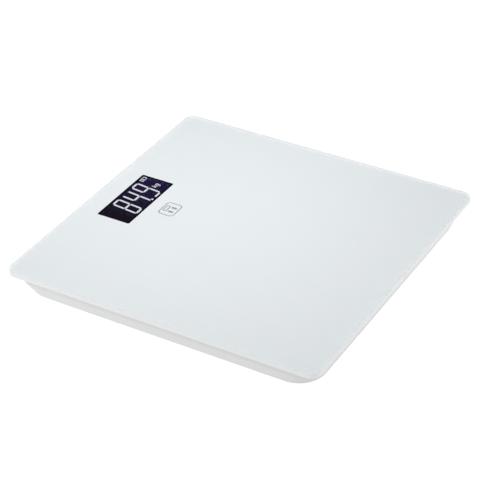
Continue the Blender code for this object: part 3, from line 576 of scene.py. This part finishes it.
def make_reading():
    low = PANEL_HIGH.z + 0.01 * MM
    high = low + 0.05 * MM
    bm = bmesh.new()
    for digit, centre_x in READING:
        for key in DIGITS[digit]:
            add_plate(bm, slanted(segment_outline(centre_x, *SEGMENTS[key])), low, high)
    point_x = (READING[1][1] + READING[2][1]) / 2 - 1.0
    add_plate(bm, slanted(segment_dot(point_x, READING_Y - DIGIT_HALF_HEIGHT, 1.0)), low, high)
    light = lit_segment()
    finish_piece("lcd_reading", bm, light, "platform")

    bm = bmesh.new()
    add_unit(bm, 26.2, -4.9, low, high)
    finish_piece("lcd_unit", bm, light, "platform")

    bm = bmesh.new()
    add_marks(bm, 30.6, 12.8, low, high)
    finish_piece("lcd_marks", bm, light, "platform")


def add_unit(bm, x, y, low, high):
    """The letters k and g, drawn with even strokes. x, y is the foot of the k."""
    width = 0.75 * MM
    lines = [
        [(x, y), (x, y + 4.6)],
        [(x + 2.1, y + 3.1), (x + 0.5, y + 1.5), (x + 2.2, y)],
        [(x + 5.6, y + 3.1), (x + 5.6, y - 0.9), (x + 4.9, y - 1.6), (x + 3.6, y - 1.6)],
    ]
    for line in lines:
        add_stroke(bm, slanted(line), width, low, high)
    bowl = [
        (x + 4.4 + 1.2 * math.cos(turn * math.pi / 8), y + 1.55 + 1.5 * math.sin(turn * math.pi / 8))
        for turn in range(16)
    ]
    add_stroke(bm, slanted(bowl), width, low, high, closed=True)


def add_marks(bm, x, y, low, high):
    """A small battery outline with two bars. x, y is its middle."""
    half_width, half_height = 3.4, 1.8
    outline = [(x - half_width, y - half_height), (x + half_width, y - half_height)]
    outline += [(x + half_width, y + half_height), (x - half_width, y + half_height)]
    add_stroke(bm, slanted(outline), 0.6 * MM, low, high, closed=True)
    for offset in (-1.7, 0.0):
        bar = [(x + offset, y - half_height + 0.8), (x + offset, y + half_height - 0.8)]
        add_stroke(bm, slanted(bar), 1.0 * MM, low, high)
    tip = [(x + half_width + 0.7, y - 0.7), (x + half_width + 0.7, y + 0.7)]
    add_stroke(bm, slanted(tip), 0.8 * MM, low, high)


def make_pictogram():
    """A small outline of a scale, in grey ink in front of the white."""
    low = GLASS_LOW.z + 0.105 * MM
    high = low + 0.04 * MM
    centre = Vector((0.0, 78.0)) * MM
    bm = bmesh.new()
    width = 0.9 * MM
    body = rounded_outline(centre, Vector((19.0, 15.0)) * MM, 3.2 * MM)
    add_stroke(bm, body, width, low, high, closed=True)
    display = rounded_outline(centre + Vector((0.0, 3.7 * MM)), Vector((8.0, 3.2)) * MM, 0.6 * MM)
    add_stroke(bm, display, width, low, high, closed=True)
    for side in (-1, 1):
        middle = centre + Vector((side * 3.2, -2.3)) * MM
        foot = rounded_outline(middle, Vector((2.5, 5.4)) * MM, 1.2 * MM)
        add_plate(bm, foot, low, high)
    finish_piece("platform_pictogram", bm, grey_print(), "platform")


# ------------------------------------------------------------------ underside
def make_foot_grip(corner, pad_rubber):
    """The anti-slip pad: a soft disc whose underside has rings of blocks."""
    low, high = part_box(f"foot_pad_{corner}")
    centre = (low + high) / 2
    radius = (high.x - low.x) / 2
    groove, slope, pitch = 0.45 * MM, 0.15 * MM, 2.7 * MM
    profile = [(0.9 * MM, 0.0), (0.9 * MM + slope, groove)]
    ridges = 5
    for ridge in range(ridges):
        start = 1.9 * MM + ridge * pitch
        profile += [(start, groove), (start + slope, 0.0), (start + pitch - 1.15 * MM, 0.0)]
        profile += [(start + pitch - 1.0 * MM, groove)]
    rim = radius - 0.6 * MM
    cut_start, cut_end = 1.9 * MM + slope, rim - 1.1 * MM  # the blocks' radial cuts run between these radii
    profile[-2:] = [(cut_end, 0.0), (cut_end + slope, groove)]
    profile += [(rim - 0.5 * MM, groove), (rim - 0.35 * MM, 0.0)]
    for turn in (0, 30, 60, 90):
        angle = math.radians(turn)
        profile.append((rim + 0.6 * MM * math.sin(angle), 0.6 * MM * (1 - math.cos(angle))))
    sectors = 36

    bm = bmesh.new()
    middle = bm.verts.new((centre.x, centre.y, low.z))
    rows = []
    for r, depth in profile:
        row = []
        for sector in range(sectors):
            for share, cut in ((0.0, True), (0.14, True), (0.20, False), (0.60, False), (0.94, False)):
                angle = 2 * math.pi * (sector + share) / sectors
                height = max(depth, groove if cut and cut_start <= r <= cut_end else 0.0)
                place = (centre.x + r * math.cos(angle), centre.y + r * math.sin(angle), low.z + height)
                row.append(bm.verts.new(place))
        rows.append(row)
    top_row = [bm.verts.new((vert.co.x, vert.co.y, high.z)) for vert in rows[-1]]
    rows.append(top_row)
    for s in range(len(top_row)):
        after = (s + 1) % len(top_row)
        bm.faces.new((middle, rows[0][s], rows[0][after]))
        for inner, outer in zip(rows, rows[1:]):
            bm.faces.new((inner[s], outer[s], outer[after], inner[after]))
    bm.faces.new(top_row)
    grip = finish_piece(f"foot_grip_{corner}", bm, pad_rubber, f"foot_{corner}")
    grip.data.shade_smooth()
    grip.data.set_sharp_from_angle(angle=math.radians(35))
    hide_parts(f"foot_pad_{corner}")


def make_label():
    """A plain, blank label on the tray's underside."""
    high = TRAY_LOW.z - 0.01 * MM
    bm = bmesh.new()
    outline = rounded_outline(Vector((-46.0, -46.0)) * MM, Vector((46.0, 30.0)) * MM, 2.0 * MM)
    add_plate(bm, outline, high - 0.12 * MM, high)
    finish_piece("rating_label", bm, label_paper(), "platform")


# ------------------------------------------------------------------ stage, light and camera
def make_floor():
    """A plain white floor that shows from above only."""
    floor = Surface("floor_white", (1.0, 1.0, 1.0), 1.0)
    path = floor.node("ShaderNodeLightPath").outputs
    seen = floor.maths("MAXIMUM", path["Is Camera Ray"], path["Is Transmission Ray"])
    strength = floor.spread(seen, 0.0, 1.0, 0.70, 1.05)
    glow = floor.node("ShaderNodeEmission", {"Color": (1.0, 1.0, 1.0, 1.0), "Strength": strength})
    nothing = floor.node("ShaderNodeBsdfTransparent")
    below = floor.node("ShaderNodeNewGeometry").outputs["Backfacing"]
    away = floor.maths("MAXIMUM", below, path["Is Shadow Ray"])
    chosen = floor.node("ShaderNodeMixShader", {0: away, 1: glow.outputs[0], 2: nothing.outputs[0]})
    floor.tree.links.new(chosen.outputs[0], floor.output.inputs["Surface"])
    bm = bmesh.new()
    bmesh.ops.create_grid(bm, x_segments=4, y_segments=4, size=6.0)
    mesh = bpy.data.meshes.new("studio_floor")
    bm.to_mesh(mesh)
    bm.free()
    mesh.materials.append(floor.material)
    plane = bpy.data.objects.new("studio_floor", mesh)
    plane.location.z = -0.0002
    bpy.context.scene.collection.objects.link(plane)


def make_world():
    """A white room. A dark flag stands where the glass top would mirror the room into the camera."""
    world = bpy.data.worlds.new("studio")
    world.use_nodes = True
    tree = world.node_tree
    tree.nodes.clear()

    def node(kind, inputs=(), **settings):
        made = tree.nodes.new(kind)
        for name, value in settings.items():
            setattr(made, name, value)
        for name, value in dict(inputs).items():
            if isinstance(value, bpy.types.NodeSocket):
                tree.links.new(value, made.inputs[name])
            else:
                made.inputs[name].default_value = value
        return made

    path = node("ShaderNodeLightPath").outputs
    way = node("ShaderNodeTexCoord").outputs["Generated"]
    flag = node("ShaderNodeVectorMath", {0: way, 1: FLAG_WAY}, operation="DOT_PRODUCT").outputs["Value"]
    inner, outer = math.cos(math.radians(14)), math.cos(math.radians(34))
    shade = node("ShaderNodeMapRange", {0: flag, 1: outer, 2: inner, 3: 0.38, 4: 0.02}).outputs[0]
    rays = {0: path["Is Glossy Ray"], 1: path["Is Transmission Ray"]}
    mirrored = node("ShaderNodeMath", rays, operation="MAXIMUM").outputs[0]
    room = node("ShaderNodeMix", {0: mirrored, 2: 0.75, 3: shade}).outputs[0]
    strength = node("ShaderNodeMix", {0: path["Is Camera Ray"], 2: room, 3: 1.05}).outputs[0]
    light = node("ShaderNodeBackground", {"Color": (1.0, 1.0, 1.0, 1.0), "Strength": strength})
    out = node("ShaderNodeOutputWorld")
    tree.links.new(light.outputs[0], out.inputs["Surface"])
    bpy.context.scene.world = world


def make_lamp(name, place, target, size, power):
    """A square softbox that the glass does not mirror."""
    lamp = bpy.data.lights.new(name, "AREA")
    lamp.size = size
    lamp.energy = power
    holder = bpy.data.objects.new(name, lamp)
    holder.location = place
    aim = Vector(target) - Vector(place)
    holder.rotation_euler = aim.to_track_quat("-Z", "Y").to_euler()
    holder.visible_glossy = False
    bpy.context.scene.collection.objects.link(holder)


CAMERA_AZIMUTH, CAMERA_HEIGHT, CAMERA_ROLL = (math.radians(a) for a in (-59.0413, 34.1761, -1.2446))
CAMERA_DISTANCE = 1.499409
CAMERA_TARGET = Vector((-0.014829, -0.0028326, 0.027))
CAMERA_LENS = 129.842
TOWARDS_CAMERA = Vector(
    (
        math.sin(CAMERA_AZIMUTH) * math.cos(CAMERA_HEIGHT),
        -math.cos(CAMERA_AZIMUTH) * math.cos(CAMERA_HEIGHT),
        math.sin(CAMERA_HEIGHT),
    )
)
FLAG_WAY = (-TOWARDS_CAMERA.x, -TOWARDS_CAMERA.y, TOWARDS_CAMERA.z)


def make_camera():
    camera = bpy.data.objects.new("camera", bpy.data.cameras.new("camera"))
    camera.data.lens = CAMERA_LENS
    camera.data.sensor_width = 36.0
    right = (-TOWARDS_CAMERA).cross(Vector((0.0, 0.0, 1.0))).normalized()
    up = TOWARDS_CAMERA.cross(right)
    rolled_right = math.cos(CAMERA_ROLL) * right + math.sin(CAMERA_ROLL) * up
    rolled_up = math.cos(CAMERA_ROLL) * up - math.sin(CAMERA_ROLL) * right
    pose = Matrix((rolled_right, rolled_up, TOWARDS_CAMERA)).transposed().to_4x4()
    pose.translation = CAMERA_TARGET + TOWARDS_CAMERA * CAMERA_DISTANCE
    camera.matrix_world = pose
    bpy.context.scene.collection.objects.link(camera)
    bpy.context.scene.camera = camera


def make_studio():
    make_floor()
    make_world()
    make_lamp("key_softbox", (0.03, 0.075, 0.36), (0.0, 0.055, 0.0), 0.3, 0.515)
    make_lamp("side_softbox", (-0.63, 0.42, -0.16), (-0.15, 0.03, 0.015), 0.35, 1.35)
    make_lamp("front_softbox", (0.35, -0.7, -0.16), (0.0, -0.15, 0.015), 0.35, 1.35)
    view = bpy.context.scene.view_settings
    view.view_transform = "Standard"
    view.look = "None"


# ------------------------------------------------------------------ build
white_ink = white_print()
foot_rubber = rubber()
dress_nodes(white_ink, foot_rubber)
make_prints(white_ink)
make_reading()
make_pictogram()
for corner in CORNERS:
    make_foot_grip(corner, foot_rubber)
make_label()
make_camera()
make_studio()
